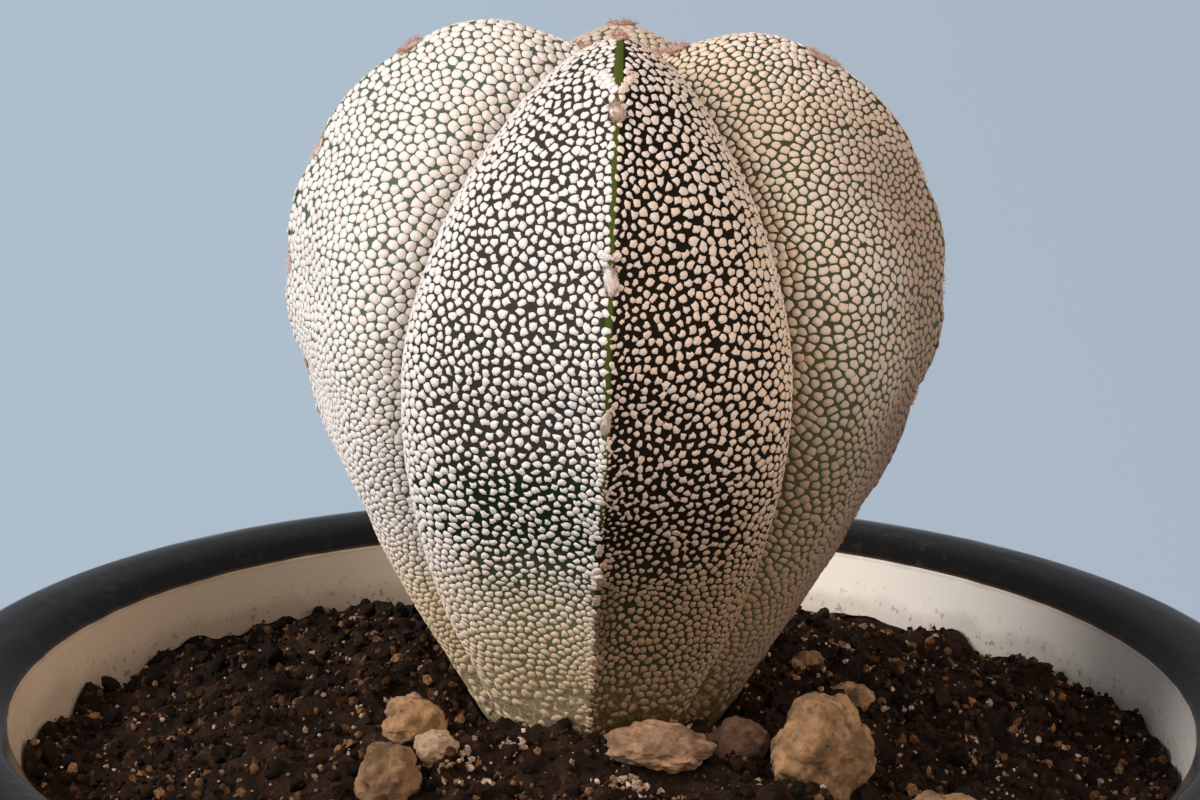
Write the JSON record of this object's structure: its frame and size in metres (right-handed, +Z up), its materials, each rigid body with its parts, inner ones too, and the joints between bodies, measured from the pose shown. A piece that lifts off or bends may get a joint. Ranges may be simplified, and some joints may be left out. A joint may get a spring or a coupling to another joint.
{
  "type": "potted bishop's cap cactus",
  "caption": "Ribbed, spineless bishop's cap cactus with a white flecked skin, grown in dark potting mix with loose tuff stones in a round black glazed pot with a cream inside.",
  "frame": {"origin": "middle of the pot's foot, on the surface that it stands on", "axes": "+Z up along the pot's axis; -Y is the front, which one rib faces; +X to the right, the way the plant leans a little"},
  "size_m": [0.13, 0.13, 0.1612],
  "materials": {
    "pot_glaze": "glossy black glaze, cream glaze inside",
    "terracotta": "unglazed, matt",
    "potting_mix": "crumbly, matt",
    "cactus_skin": "waxy dark green skin under white felt flecks",
    "tan_tuff": "rough, matt",
    "pink_tuff": "rough, matt"
  },
  "bodies": {
    "root": {"pot": "pot_glaze", "drain_crock": "terracotta", "soil": "potting_mix", "cactus": "cactus_skin", "stone_01": "tan_tuff", "stone_02": "pink_tuff", "stone_03": "tan_tuff", "stone_04": "pink_tuff", "stone_05": "tan_tuff", "stone_06": "pink_tuff", "stone_07": "tan_tuff", "stone_08": "pink_tuff", "stone_09": "tan_tuff", "stone_10": "pink_tuff", "stone_11": "tan_tuff", "stone_12": "pink_tuff"}
  },
  "joints": []
}
